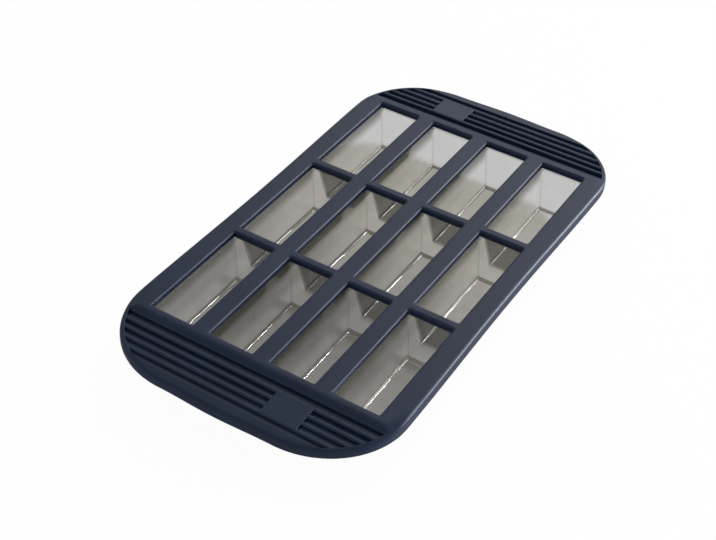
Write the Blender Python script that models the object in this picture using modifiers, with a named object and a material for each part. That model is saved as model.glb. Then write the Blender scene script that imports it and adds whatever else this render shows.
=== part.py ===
# Mini cake mould: a stiff-rimmed silicone deck that carries twelve translucent silicone cups.
# Units are metres, +Z is up, and the cups stand on z = 0 with the mould's centre at the origin.

import math

import bmesh
import bpy
import numpy as np

# Cups and the openings above them
COLUMNS = 4
ROWS = 3
OPENING_WIDTH = 0.0300
OPENING_LENGTH = 0.0810
OPENING_CORNER = 0.0010
OPENING_EDGE = 0.0012
WEB_ACROSS = 0.0120
WEB_ALONG = 0.0064
CUP_DEPTH = 0.0335
CUP_WALL = 0.0013
CUP_FILLET = 0.0016
DRAFT_ACROSS = 0.0045
DRAFT_ALONG = 0.0050
FLANGE_WIDTH = 0.0022
CLEARANCE = 0.0003

# Deck and rim. The sides are drawn in at their middle, and the ends bow out.
LIP_HEIGHT = 0.0041
FLANGE_COVER = 0.0001
SIDE_BORDER = 0.0146
SIDE_WAIST = 0.0014
END_BOW = 0.0011
CORNER_ACROSS = 0.0545
CORNER_ALONG = 0.0505
RIM_ROUND = 0.0030
RIM_BAND = 0.0065
RECESS_MARGIN = 0.0025
RECESS_CORNER = 0.0060

# Ribbed grips at the two ends, which slope gently down to the lip
GRIP_START = 0.0087
GRIP_DROP = 0.0015
LIP_DROP = 0.0027
SHOULDER_LENGTH = 0.0120
SHOULDER_ROUND = 0.0022
LIP_ROUND = 0.0040
LIP_WIDTH = 0.0079
DECK_ROUND = 0.0035
POCKET_DROP = 0.0039
POCKET_INSET = 0.0025
RIB_COUNT = 4
RIB_PITCH = 0.00595
RIB_WIDTH = 0.0028
RIB_DROP = 0.0002
RIB_EDGE = 0.0004
RIB_END_GAP = 0.0007
LAST_GROOVE = 0.0045
PLATE_WIDTH = 0.0240
PLATE_OFFSET = 0.0336
PLATE_RISE = 0.0001

# Stiffening wire moulded into the rim, and the tool pins that held it
WIRE_DIAMETER = 0.0020
WIRE_INSET = 0.0045
WIRE_COVER = 0.00065
PIN_DIAMETER = 0.0018
PINS_PER_SIDE = 3
PIN_SIDES = 12

# Fineness of the curved outlines
SIDE_STEPS = 8
CORNER_STEPS = 14
END_STEPS = 4
OPENING_STEPS = 3
EDGE_STEPS = 2
ROUND_STEPS = 4
ROUND_LIMIT = 0.9
POCKET_STEPS = 8
CUT_MARGIN = 0.0010

# Sizes that follow from the ones above
HEIGHT = CUP_DEPTH + CUP_WALL
SEAT_WIDTH = FLANGE_WIDTH + CLEARANCE
CHANNEL_DIAMETER = WIRE_DIAMETER + 2 * CLEARANCE
RIM_HEIGHT = POCKET_DROP + CHANNEL_DIAMETER + 2 * WIRE_COVER
PLATE_THICKNESS = LIP_HEIGHT + CLEARANCE + CUP_WALL + FLANGE_COVER
PITCH_ACROSS = OPENING_WIDTH + WEB_ACROSS
PITCH_ALONG = OPENING_LENGTH + WEB_ALONG
OPENINGS_X = (COLUMNS * PITCH_ACROSS - WEB_ACROSS) / 2
OPENINGS_Y = (ROWS * PITCH_ALONG - WEB_ALONG) / 2
DECK_END = OPENINGS_Y + GRIP_START
POCKET_END = DECK_END + RIB_COUNT * RIB_PITCH + LAST_GROOVE
HALF_WIDTH = OPENINGS_X + SIDE_BORDER
HALF_LENGTH = POCKET_END + LIP_WIDTH
RIM_BOTTOM = HEIGHT - RIM_HEIGHT
PLATE_BOTTOM = HEIGHT - PLATE_THICKNESS
FLANGE_SEAT = HEIGHT - LIP_HEIGHT
WIRE_Z = RIM_BOTTOM + WIRE_COVER + CHANNEL_DIAMETER / 2


# Scene and materials


def clear_scene():
    for obj in list(bpy.data.objects):
        bpy.data.objects.remove(obj)


def new_collection(name):
    collection = bpy.data.collections.new(name)
    bpy.context.scene.collection.children.link(collection)
    return collection


def new_material(name, colour, roughness, metallic=0.0):
    material = bpy.data.materials.new(name)
    material.use_nodes = True
    shader = material.node_tree.nodes["Principled BSDF"]
    shader.inputs["Base Color"].default_value = (*colour, 1.0)
    shader.inputs["Roughness"].default_value = roughness
    shader.inputs["Metallic"].default_value = metallic
    material.diffuse_color = (*colour, 1.0)
    return material


def add_object(name, data, collection, material=None):
    obj = bpy.data.objects.new(name, data)
    collection.objects.link(obj)
    if material:
        data.materials.append(material)
    return obj


def hide_helper(obj):
    obj.hide_render = True
    obj.display_type = "WIRE"
    return obj


# Plan outlines


def wave(length, depth, along):
    """A smooth dip or bow: its depth at a distance from its middle, and its slope there."""
    turn = math.pi * along / length
    return depth * (1 + math.cos(turn)) / 2, -depth * math.pi / length / 2 * math.sin(turn)


def outline_quarter():
    """Points and outward directions of a quarter of the outline, from side middle to end middle."""
    side_length, end_width = HALF_LENGTH - CORNER_ALONG, HALF_WIDTH - CORNER_ACROSS
    quarter = []
    for step in range(SIDE_STEPS):
        y = side_length * step / SIDE_STEPS
        dip, slope = wave(side_length, SIDE_WAIST, y)
        quarter.append((HALF_WIDTH - dip, y, 1.0, slope))
    for step in range(CORNER_STEPS):
        angle = math.pi / 2 * step / CORNER_STEPS
        cos, sin = math.cos(angle), math.sin(angle)
        x, y = end_width + CORNER_ACROSS * cos, side_length + CORNER_ALONG * sin
        quarter.append((x, y, cos / CORNER_ACROSS, sin / CORNER_ALONG))
    for step in range(END_STEPS + 1):
        x = end_width * (1 - step / END_STEPS)
        bow, slope = wave(end_width, END_BOW, x)
        quarter.append((x, HALF_LENGTH + bow, -slope, 1.0))
    return quarter


def inset_quarter(insets):
    """The quarter outline moved inwards, at each of its points by its own inset."""
    points = []
    for (x, y, across, along), inset in zip(outline_quarter(), insets):
        size = math.hypot(across, along)
        points.append((x - inset * across / size, y - inset * along / size))
    return points


def quarter_with(inset):
    return inset_quarter([inset] * (SIDE_STEPS + CORNER_STEPS + END_STEPS + 1))


def whole_outline(quarter):
    """The closed outline made of one quarter and its three mirror images, counter-clockwise."""
    half = quarter + [(-x, y) for x, y in reversed(quarter[:-1])]
    return half + [(-x, -y) for x, y in half[1:-1]]


def half_width_at(y, inset):
    """Half the mould's width at a distance y from its middle, less inset."""
    quarter = quarter_with(inset)
    return float(np.interp(abs(y), [p[1] for p in quarter], [p[0] for p in quarter]))


def band_outline(start, end, inset, steps):
    """The part of the inset outline between two distances from the middle, at the +Y end."""
    heights = [start + (end - start) * step / steps for step in range(steps + 1)]
    right = [(half_width_at(y, inset), y) for y in heights]
    return right + [(-x, y) for x, y in reversed(right)]


def both_ends(outline):
    """The outline and the same one turned half round, for the other end."""
    return [outline, [(-x, -y) for x, y in outline]]


def rounded_rectangle(half_x, half_y, radius, steps):
    points = []
    for quarter, (side_x, side_y) in enumerate(((1, 1), (-1, 1), (-1, -1), (1, -1))):
        for step in range(steps + 1):
            angle = math.pi / 2 * (quarter + step / steps)
            x = side_x * (half_x - radius) + radius * math.cos(angle)
            y = side_y * (half_y - radius) + radius * math.sin(angle)
            points.append((x, y))
    return points


def circle_outline(radius):
    turns = [2 * math.pi * step / PIN_SIDES for step in range(PIN_SIDES)]
    return [(radius * math.cos(turn), radius * math.sin(turn)) for turn in turns]


def opening_centres():
    for row in range(ROWS):
        for column in range(COLUMNS):
            x = (column - (COLUMNS - 1) / 2) * PITCH_ACROSS
            y = ((ROWS - 1) / 2 - row) * PITCH_ALONG
            yield row + 1, column + 1, x, y


# Solids from outlines


def mesh_of(curve_object, collection):
    """Turns a curve object into a closed mesh object of the same name and place.

    The curve's caps are welded to its walls, and its flat faces are joined into single ones.
    """
    bpy.context.view_layer.update()
    evaluated = curve_object.evaluated_get(bpy.context.evaluated_depsgraph_get())
    mesh = bpy.data.meshes.new_from_object(evaluated)
    name, place = curve_object.name, curve_object.matrix_world.copy()
    bpy.data.objects.remove(curve_object)
    work = bmesh.new()
    work.from_mesh(mesh)
    bmesh.ops.remove_doubles(work, verts=work.verts, dist=1e-6)
    bmesh.ops.dissolve_limit(work, angle_limit=1e-3, verts=work.verts, edges=work.edges)
    bmesh.ops.recalc_face_normals(work, faces=work.faces)
    work.to_mesh(mesh)
    work.free()
    obj = add_object(name, mesh, collection)
    obj.matrix_world = place
    return obj


def add_spline(curve, outline, z):
    spline = curve.splines.new("POLY")
    spline.points.add(len(outline) - 1)
    for point, (x, y) in zip(spline.points, outline):
        point.co = (x, y, z, 1)
    spline.use_cyclic_u = True


def slab(name, outlines, bottom, top, collection):
    """Flat solids with the given plan outlines, between two heights."""
    curve = bpy.data.curves.new(name, "CURVE")
    curve.dimensions = "2D"
    curve.fill_mode = "BOTH"
    curve.extrude = (top - bottom) / 2
    for outline in outlines:
        add_spline(curve, outline, 0.0)
    obj = mesh_of(add_object(name, curve, collection), collection)
    for vertex in obj.data.vertices:
        vertex.co.z = top if vertex.co.z > 0 else bottom
    return obj


def follow_grip(obj, drop):
    """Sets the top of a slab in a grip to the grip's slope, less drop."""
    top = max(vertex.co.z for vertex in obj.data.vertices)
    for vertex in obj.data.vertices:
        if vertex.co.z == top:
            vertex.co.z = grip_level(vertex.co.y) - drop
    return obj


def add_rings(work, rings):
    """Walls between stacked rings of points, which all have the same number of points."""
    loops = [[work.verts.new(point) for point in ring] for ring in rings]
    for upper, lower in zip(loops, loops[1:]):
        for index in range(len(upper)):
            after = (index + 1) % len(upper)
            work.faces.new((upper[index], lower[index], lower[after], upper[after]))
    return loops


def ring(half_x, half_y, radius, z, x=0.0, y=0.0):
    outline = rounded_rectangle(half_x, half_y, radius, OPENING_STEPS)
    return [(px + x, py + y, z) for px, py in outline]


def tube(name, outline, z, diameter, collection):
    """A round ring that follows a closed plan outline at one height."""
    curve = bpy.data.curves.new(name, "CURVE")
    curve.dimensions = "3D"
    curve.bevel_depth = diameter / 2
    curve.bevel_resolution = 2
    add_spline(curve, outline, z)
    return add_object(name, curve, collection)


def boolean(obj, other, operation):
    modifier = obj.modifiers.new(other.name, "BOOLEAN")
    modifier.operation = operation
    modifier.object = other
    modifier.solver = "EXACT"


# Levels and edge radii along the deck, by the distance from its middle


def eased(value, start, end):
    """0 up to start, 1 from end on, and a smooth rise between them."""
    share = min(max((value - start) / (end - start), 0.0), 1.0)
    return share**2 * (3 - 2 * share)


def grip_level(y):
    """The height of the slope that the grip's ribs, plate and lip share."""
    share = (abs(y) - DECK_END) / (HALF_LENGTH - DECK_END)
    return HEIGHT - GRIP_DROP - (LIP_DROP - GRIP_DROP) * share


def rim_level(y):
    """The height of the rim, which comes down to the grip over the shoulder."""
    down = eased(abs(y), DECK_END - SHOULDER_LENGTH, DECK_END)
    return HEIGHT + (grip_level(y) - HEIGHT) * down


def deck_level(y):
    """The height inside the rim: flat up to the grip, and the grip's slope past its first rib."""
    down = eased(abs(y), DECK_END, DECK_END + RIB_PITCH)
    return HEIGHT + (grip_level(y) - HEIGHT) * down


def rim_radius(y):
    """The radius of the rim's outer edge, tighter at the shoulder and larger at the lip."""
    shoulder = eased(abs(y), DECK_END - SHOULDER_LENGTH, DECK_END)
    lip = eased(abs(y), POCKET_END, HALF_LENGTH)
    radius = RIM_ROUND + (SHOULDER_ROUND - RIM_ROUND) * shoulder + (LIP_ROUND - SHOULDER_ROUND) * lip
    return min(radius, ROUND_LIMIT * (rim_level(y) - RIM_BOTTOM))


# Body, cutters and additions of the deck


def rim_rings():
    """Rings round the deck's outside, from its bottom edge over the rounded rim to the flat."""
    along = [y for _, y, _, _ in outline_quarter()]
    outer = whole_outline(quarter_with(0.0))
    rings = [[(x, y, RIM_BOTTOM) for x, y in outer]]
    levels = [rim_level(y) for _, y in outer]
    radii = [rim_radius(y) for _, y in outer]
    for step in range(ROUND_STEPS + 1):
        angle = math.pi / 2 * step / ROUND_STEPS
        insets = [rim_radius(y) * (1 - math.cos(angle)) for y in along]
        drop = 1 - math.sin(angle)
        outline = whole_outline(inset_quarter(insets))
        rings.append([(x, y, z - r * drop) for (x, y), z, r in zip(outline, levels, radii)])
    inner = whole_outline(quarter_with(RIM_BAND))
    rings.append([(x, y, deck_level(y)) for x, y in inner])
    return rings


def deck_body(parts):
    """The deck's outside as one closed loft, capped on top by level strips across the mould."""
    work = bmesh.new()
    loops = add_rings(work, rim_rings())
    work.faces.new(reversed(loops[0]))
    cap = loops[-1]
    quarter = len(cap) // 4
    for start in (0, 2 * quarter):
        for step in range(quarter):
            right, left = start + step, start + 2 * quarter - step
            corners = [cap[right], cap[right + 1], cap[left - 1], cap[left % len(cap)]]
            work.faces.new(dict.fromkeys(corners))
    bmesh.ops.recalc_face_normals(work, faces=work.faces)
    mesh = bpy.data.meshes.new("deck")
    work.to_mesh(mesh)
    work.free()
    return add_object("deck", mesh, parts)


def window_cutter(cutters):
    """Each opening with its rounded top edge and, below, the seat for its cup's flange."""
    stack = [(SEAT_WIDTH, RIM_BOTTOM - CUT_MARGIN), (SEAT_WIDTH, FLANGE_SEAT), (0.0, FLANGE_SEAT)]
    for step in range(EDGE_STEPS):
        angle = math.pi / 2 * step / EDGE_STEPS
        widening = OPENING_EDGE * (1 - math.cos(angle))
        stack.append((widening, HEIGHT - OPENING_EDGE * (1 - math.sin(angle))))
    last_widening, last_z = stack[-1]
    stack.append((2 * OPENING_EDGE - last_widening, 2 * HEIGHT - last_z))
    work = bmesh.new()
    for _, _, x, y in opening_centres():
        rings = []
        for grow, z in reversed(stack):
            half_x, half_y = OPENING_WIDTH / 2 + grow, OPENING_LENGTH / 2 + grow
            rings.append(ring(half_x, half_y, OPENING_CORNER + grow, z, x, y))
        loops = add_rings(work, rings)
        work.faces.new(loops[0])
        work.faces.new(reversed(loops[-1]))
    bmesh.ops.recalc_face_normals(work, faces=work.faces)
    mesh = bpy.data.meshes.new("windows")
    work.to_mesh(mesh)
    work.free()
    return hide_helper(add_object("windows", mesh, cutters))


def underside_cutter(cutters):
    """The shallow recess under the plate, inside the rim."""
    border = SEAT_WIDTH + RECESS_MARGIN
    outline = rounded_rectangle(
        OPENINGS_X + border, OPENINGS_Y + border, RECESS_CORNER, OPENING_STEPS
    )
    return hide_helper(slab("underside", [outline], RIM_BOTTOM - CUT_MARGIN, PLATE_BOTTOM, cutters))


def pocket_cutter(cutters):
    """The sunken floor that the ribs stand on, at both ends, with the deck's edge rounded over it."""
    radius = min(DECK_ROUND, ROUND_LIMIT * POCKET_DROP)
    stack = [(DECK_END, HEIGHT - POCKET_DROP)]
    for step in range(ROUND_STEPS):
        angle = math.pi / 2 * step / ROUND_STEPS
        start = DECK_END - radius * (1 - math.cos(angle))
        stack.append((start, HEIGHT - radius * (1 - math.sin(angle))))
    last_start, last_z = stack[-1]
    stack.append((2 * (DECK_END - radius) - last_start, 2 * HEIGHT - last_z))
    work = bmesh.new()
    for end in (0, 1):
        rings = []
        for start, z in reversed(stack):
            outline = both_ends(band_outline(start, POCKET_END, POCKET_INSET, POCKET_STEPS))[end]
            rings.append([(x, y, z) for x, y in outline])
        loops = add_rings(work, rings)
        work.faces.new(loops[0])
        work.faces.new(reversed(loops[-1]))
    bmesh.ops.recalc_face_normals(work, faces=work.faces)
    mesh = bpy.data.meshes.new("pockets")
    work.to_mesh(mesh)
    work.free()
    return hide_helper(add_object("pockets", mesh, cutters))


def rib_bars(cutters):
    """Cross ribs whose ends follow the mould's outline."""
    outlines = []
    for index in range(RIB_COUNT):
        middle = DECK_END + (index + 1) * RIB_PITCH
        start, end = middle - RIB_WIDTH / 2, middle + RIB_WIDTH / 2
        outlines += both_ends(band_outline(start, end, POCKET_INSET + RIB_END_GAP, 1))
    bottom = HEIGHT - POCKET_DROP - RIB_EDGE * 2
    bars = follow_grip(slab("ribs", outlines, bottom, HEIGHT, cutters), RIB_DROP)
    bevel = bars.modifiers.new("rib_edges", "BEVEL")
    bevel.width = RIB_EDGE
    bevel.segments = 1
    return hide_helper(bars)


def grip_plates(cutters):
    """The bare flat plate in each grip, which joins the ribs from the first to the last."""
    start = DECK_END + RIB_PITCH
    end = start + (RIB_COUNT - 1) * RIB_PITCH
    low, high = -PLATE_OFFSET - PLATE_WIDTH / 2, -PLATE_OFFSET + PLATE_WIDTH / 2
    outline = [(low, start), (high, start), (high, end), (low, end)]
    bottom = HEIGHT - POCKET_DROP - RIB_EDGE
    plates = slab("plates", both_ends(outline), bottom, HEIGHT, cutters)
    return hide_helper(follow_grip(plates, RIB_DROP - PLATE_RISE))


def wire_path():
    return whole_outline(quarter_with(WIRE_INSET))


def wire_channel(cutters):
    channel = tube("channel", wire_path(), WIRE_Z, CHANNEL_DIAMETER, cutters)
    return hide_helper(mesh_of(channel, cutters))


def pin_cutter(cutters):
    """The holes left under the rim by the pins that held the wire while the deck was moulded."""
    end_y = HALF_LENGTH + END_BOW - WIRE_INSET
    spots = [(0.0, end_y), (0.0, -end_y)]
    for index in range(PINS_PER_SIDE):
        y = (index - (PINS_PER_SIDE - 1) / 2) * PITCH_ALONG
        side_x = half_width_at(y, WIRE_INSET)
        spots += [(side_x, y), (-side_x, y)]
    radius = PIN_DIAMETER / 2
    outlines = []
    for x, y in spots:
        outlines.append([(px + x, py + y) for px, py in circle_outline(radius)])
    return hide_helper(slab("pins", outlines, RIM_BOTTOM - CUT_MARGIN, WIRE_Z, cutters))


# Pieces


def make_deck(parts, cutters, material):
    """The navy silicone deck: plate, rim, grips and the openings for the cups."""
    deck = deck_body(parts)
    deck.data.materials.append(material)
    boolean(deck, pocket_cutter(cutters), "DIFFERENCE")
    boolean(deck, rib_bars(cutters), "UNION")
    boolean(deck, grip_plates(cutters), "UNION")
    boolean(deck, underside_cutter(cutters), "DIFFERENCE")
    boolean(deck, window_cutter(cutters), "DIFFERENCE")
    boolean(deck, wire_channel(cutters), "DIFFERENCE")
    boolean(deck, pin_cutter(cutters), "DIFFERENCE")
    return deck


def cup_profile():
    """Pairs of inset (as a share of the draft, plus a length) and height, from flange to floor."""
    top, floor = FLANGE_SEAT - CLEARANCE, CUP_WALL
    wall_end = (top - floor - CUP_FILLET) / (top - floor)
    rows = [(0.0, -FLANGE_WIDTH, top), (0.0, 0.0, top), (wall_end, 0.0, floor + CUP_FILLET)]
    for step in (1, 2, 3):
        share = step / 3
        along_wall, past = (1 - share) ** 2, share**2
        draft_share = along_wall * wall_end + (1 - along_wall)
        rows.append((draft_share, past * CUP_FILLET, floor + along_wall * CUP_FILLET))
    return rows


def cup_mesh(material):
    """An open surface down one cup's inside, from the rim of its flange to its floor."""
    rings = []
    for draft_share, extra, z in cup_profile():
        half_x = OPENING_WIDTH / 2 - draft_share * DRAFT_ACROSS - extra
        half_y = OPENING_LENGTH / 2 - draft_share * DRAFT_ALONG - extra
        radius = OPENING_CORNER - min(extra, OPENING_CORNER * 0.6)
        rings.append(ring(half_x, half_y, radius, z))
    work = bmesh.new()
    loops = add_rings(work, rings)
    work.faces.new(loops[-1])
    bmesh.ops.recalc_face_normals(work, faces=work.faces)
    floor = min(work.faces, key=lambda face: face.calc_center_median().z)
    if floor.normal.z < 0:
        bmesh.ops.reverse_faces(work, faces=work.faces)
    mesh = bpy.data.meshes.new("cup")
    work.to_mesh(mesh)
    work.free()
    mesh.materials.append(material)
    mesh.shade_smooth()
    mesh.set_sharp_from_angle(angle=math.radians(40))
    return mesh


def make_cups(parts, material):
    """Twelve translucent silicone cups, each with a flange bonded into its seat in the deck."""
    mesh = cup_mesh(material)
    cups = []
    for row, column, x, y in opening_centres():
        cup = bpy.data.objects.new(f"cup_row{row}_col{column}", mesh)
        parts.objects.link(cup)
        cup.location = (x, y, 0)
        wall = cup.modifiers.new("wall", "SOLIDIFY")
        wall.thickness = CUP_WALL
        wall.offset = -1
        wall.use_even_offset = True
        cups.append(cup)
    return cups


def make_wire(parts, material):
    """The closed steel ring that keeps the rim flat."""
    wire = mesh_of(tube("rim_wire", wire_path(), WIRE_Z, WIRE_DIAMETER, parts), parts)
    wire.data.materials.append(material)
    wire.data.shade_smooth()
    return wire


def main():
    clear_scene()
    parts = new_collection("mini_cake_mould")
    cutters = new_collection("cutters")
    navy = new_material("navy_silicone", (0.048, 0.058, 0.092), 0.5)
    clear = new_material("translucent_silicone", (0.60, 0.58, 0.55), 0.35)
    steel = new_material("spring_steel", (0.56, 0.56, 0.55), 0.3, 1.0)
    pieces = [make_deck(parts, cutters, navy), make_wire(parts, steel), *make_cups(parts, clear)]
    centre = bpy.data.objects.new("mould_centre", None)
    parts.objects.link(centre)
    for piece in pieces:
        piece.parent = centre


main()
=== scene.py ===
import math

import bmesh
import bpy
import numpy as np
from mathutils import Euler, Matrix, Vector


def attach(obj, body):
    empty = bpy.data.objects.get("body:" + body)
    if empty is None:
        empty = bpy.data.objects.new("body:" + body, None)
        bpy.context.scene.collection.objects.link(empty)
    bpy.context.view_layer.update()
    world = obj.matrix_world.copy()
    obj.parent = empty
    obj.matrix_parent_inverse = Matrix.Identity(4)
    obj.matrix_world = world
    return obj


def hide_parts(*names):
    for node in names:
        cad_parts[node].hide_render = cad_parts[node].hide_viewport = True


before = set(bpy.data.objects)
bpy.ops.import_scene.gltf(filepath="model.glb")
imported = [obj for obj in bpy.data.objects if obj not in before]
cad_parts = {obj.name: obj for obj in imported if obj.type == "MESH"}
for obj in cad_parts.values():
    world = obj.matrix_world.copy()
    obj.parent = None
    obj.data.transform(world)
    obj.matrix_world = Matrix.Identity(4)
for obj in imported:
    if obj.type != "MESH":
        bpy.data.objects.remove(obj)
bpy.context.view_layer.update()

# Mini cake mould: a navy silicone deck with two ribbed grips and twelve translucent cups.
# Sizes in the dictionaries are millimetres, and every mesh is scaled to metres when it is made.

mm = 0.001
beyond = 99.0  # a height that the deck's own level cuts off, or a drop that leaves a feature out


# Mesh helpers

def gridFaces(rows, columns, closed):
    # quads between neighbouring points of a rows x columns grid; closed joins the last column to the first
    index = np.arange(rows * columns).reshape(rows, columns)
    if closed:
        index = np.hstack([index, index[:, :1]])
    corners = [index[:-1, :-1], index[:-1, 1:], index[1:, 1:], index[1:, :-1]]
    return np.stack(corners, axis=-1).reshape(-1, 4)


def meshFromGrids(name, grids):
    # stacks (points, closed) grids, welds the points they share, and turns all faces outwards
    points, faces, start = [], [], 0
    for grid, closed in grids:
        rows, columns = grid.shape[:2]
        faces.append(gridFaces(rows, columns, closed) + start)
        points.append(grid.reshape(-1, 3) * mm)
        start += rows * columns
    mesh = bpy.data.meshes.new(name)
    mesh.from_pydata(np.concatenate(points).tolist(), [], np.concatenate(faces).tolist())
    work = bmesh.new()
    work.from_mesh(mesh)
    bmesh.ops.remove_doubles(work, verts=work.verts, dist=2e-6)
    bmesh.ops.recalc_face_normals(work, faces=work.faces)
    work.to_mesh(mesh)
    openEdges = sum(1 for edge in work.edges if len(edge.link_faces) != 2)
    work.free()
    mesh.shade_smooth()
    print(f"{name}: {len(mesh.vertices)} points, {len(mesh.polygons)} faces, {openEdges} open edges")
    return mesh


def addPiece(name, mesh, material, sharpAngle):
    # a finished object at the origin; flats stay flat beside small roundings
    piece = bpy.data.objects.new(name, mesh)
    bpy.context.scene.collection.objects.link(piece)
    mesh.materials.append(material)
    mesh.set_sharp_from_angle(angle=math.radians(sharpAngle))
    normals = piece.modifiers.new("flatNormals", "WEIGHTED_NORMAL")
    normals.keep_sharp = True
    return piece


def halfTurn(grid):
    # the same grid turned half round the mould's upright axis
    return grid * np.array([-1.0, -1.0, 1.0])


def quarterRound(radius, steps):
    # a quarter circle as (distance in from the wall, drop below the top), from the wall to the top
    angle = np.linspace(0, np.pi / 2, steps + 1)
    return radius * (1 - np.cos(angle)), radius * (1 - np.sin(angle))


# Opening grid: shared by the deck's windows and the cups

opening = {
    "columns": 4,
    "rows": 3,
    "pitch": (42.0, 87.4),
    "half": (15.0, 40.5),
    "corner": 1.0,
    "cornerSteps": 8,
    "straightSteps": (10, 22),
}


def cellLines(axis):
    # grid lines across one cell: even over the straight side, then spread like tan to the cell's border
    half = opening["pitch"][axis] / 2
    straight = opening["half"][axis] - opening["corner"]
    steps = opening["cornerSteps"] // 2
    fan = np.tan(np.linspace(0, np.pi / 4, steps + 1))[1:]
    outer = straight + (half - straight) * fan
    middle = np.linspace(-straight, straight, opening["straightSteps"][axis] + 1)
    return np.concatenate([-outer[::-1], middle, outer])


def ringParts():
    # stations round one opening: unit place of the straight or corner centre, unit outward
    # direction, and the point of the cell's border that the station runs to
    border, centre, outward = [], [], []
    lines = [cellLines(0), cellLines(1)]
    for quarter in range(4):
        turn = np.array([[0, -1], [1, 0]]) if quarter % 2 else np.eye(2)
        sign = 1 if quarter < 2 else -1
        along = lines[1] if quarter % 2 == 0 else lines[0]
        fixed = opening["pitch"][0 if quarter % 2 == 0 else 1] / 2
        reach = opening["half"][1 if quarter % 2 == 0 else 0] - opening["corner"]
        past = np.clip(np.abs(along) - reach, 0, None)
        angle = np.arctan(past / past.max()) * np.sign(along)
        place = np.clip(along / reach, -1, 1)
        local = np.stack([np.full(len(along), fixed), along], axis=1)
        middle = np.stack([np.ones(len(along)), place], axis=1)
        facing = np.stack([np.cos(angle), np.sin(angle)], axis=1)
        border.append((local @ turn.T * sign)[:-1])
        centre.append((middle @ turn.T * sign)[:-1])
        outward.append((facing @ turn.T * sign)[:-1])
    return np.concatenate(border), np.concatenate(centre), np.concatenate(outward)


cellBorder, ringCentre, ringOutward = ringParts()


def ringPlan(halfX, halfY, radius):
    # a rounded rectangle: the corner centres' rectangle plus the radius along each outward direction
    return ringCentre * np.array([halfX - radius, halfY - radius]) + ringOutward * radius


def cellCentres():
    # the name and middle of each cell, with row 1 at the far end and column 1 at the left
    for row in range(opening["rows"]):
        for column in range(opening["columns"]):
            x = (column - (opening["columns"] - 1) / 2) * opening["pitch"][0]
            y = ((opening["rows"] - 1) / 2 - row) * opening["pitch"][1]
            yield f"row{row + 1}_col{column + 1}", np.array([x, y, 0.0])


# Colours and nodes

def linear(hexColour, alpha=1.0):
    # sRGB hex to linear: c/12.92 below 0.04045, else ((c + 0.055)/1.055) to the power 2.4
    srgb = np.array([int(hexColour[i:i + 2], 16) for i in (1, 3, 5)]) / 255
    low, high = srgb / 12.92, ((srgb + 0.055) / 1.055) ** 2.4
    return (*np.where(srgb <= 0.04045, low, high).tolist(), alpha)


def addNode(tree, kind, links=None, values=None, **settings):
    # one node with its settings, unlinked values and incoming links
    node = tree.nodes.new(kind)
    for name, value in settings.items():
        setattr(node, name, value)
    for socket, value in (values or {}).items():
        node.inputs[socket].default_value = value
    for socket, source in (links or {}).items():
        tree.links.new(source, node.inputs[socket])
    return node


def newMaterial(name):
    material = bpy.data.materials.new(name)
    material.use_nodes = True
    material.node_tree.nodes.clear()
    return material, material.node_tree


def addRamp(tree, source, stops):
    # a colour ramp with (place, colour) stops
    ramp = addNode(tree, "ShaderNodeValToRGB", {"Fac": source})
    while len(ramp.color_ramp.elements) < len(stops):
        ramp.color_ramp.elements.new(0.5)
    for element, (place, colour) in zip(ramp.color_ramp.elements, stops):
        element.position = place
        element.color = colour
    return ramp


# Deck material: navy silicone rubber, compression moulded in a fine blasted steel tool.
# The eye gets a soft, even matt with a low broad sheen, a very fine grain, and a faint cloudiness.

navy = {
    "dark": "#12233d",
    "light": "#172944",
    "grain": 0.35,  # mm; the real blasting is nearer 0.1, too fine to show
    "cloud": 28.0,  # mm
    "roughness": (0.34, 0.42),
    "bump": 0.10,
}


def navySilicone():
    material, tree = newMaterial("navyMouldedSilicone")
    place = addNode(tree, "ShaderNodeTexCoord").outputs["Object"]
    cloud = addNode(tree, "ShaderNodeTexNoise", {"Vector": place},
                    {"Scale": 1 / (navy["cloud"] * mm), "Detail": 4.0})
    grain = addNode(tree, "ShaderNodeTexNoise", {"Vector": place},
                    {"Scale": 1 / (navy["grain"] * mm), "Detail": 2.0})
    colour = addRamp(tree, cloud.outputs["Fac"], [(0.35, linear(navy["dark"])), (0.65, linear(navy["light"]))])
    rough = addNode(tree, "ShaderNodeMapRange", {"Value": grain.outputs["Fac"]},
                    {"To Min": navy["roughness"][0], "To Max": navy["roughness"][1]})
    bump = addNode(tree, "ShaderNodeBump", {"Height": grain.outputs["Fac"]},
                   {"Strength": navy["bump"], "Distance": 0.05 * mm})
    shader = addNode(tree, "ShaderNodeBsdfPrincipled",
                     {"Base Color": colour.outputs["Color"], "Roughness": rough.outputs["Result"],
                      "Normal": bump.outputs["Normal"]},
                     {"IOR": 1.41, "Specular IOR Level": 0.5})
    addNode(tree, "ShaderNodeOutputMaterial", {"Surface": shader.outputs["BSDF"]})
    return material


# Cup material: clear silicone with a little smoke in it, moulded against a satin tool.
# The eye gets a milky body that lets light through, with soft satin highlights on the fillets, a paler painted
# colour on the fillets for the light they gather, and painted shade at the top of the long walls.

smoke = {
    "body": "#464237",
    "thin": "#4f4b3e",
    "cloud": 9.0,  # mm
    "grain": 0.5,  # mm; the tool's satin is nearer 0.1, too fine to show
    "roughness": (0.22, 0.32),
    "opacity": (0.25, 0.29),
    "edgeOpacity": 0.45,  # added on the floor's fillets, which are thick and catch the light, so their painted paler colour shows
    "edge": "#cfcabd",  # painted light: the fillets are coloured paler, standing in for the light they gather
    "edgeRoughness": 0.12,
    "paintedShadeOpacity": 0.34,  # painted shade: added at the top of the long walls, which the deck shades from behind, so more of the dark body colour shows there
    "band": (19.0, 30.0),  # mm above the table; the painted shade grows from the first height to the second
    "turned": (0.985, 0.90),  # a fillet's largest normal part, from none to full
    "upward": (0.20, 0.35),  # its part up or down
    "longWall": (0.90, 0.97),  # a long wall's part across the mould; the painted shade goes on the long walls only
    "bump": 0.08,
}


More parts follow.
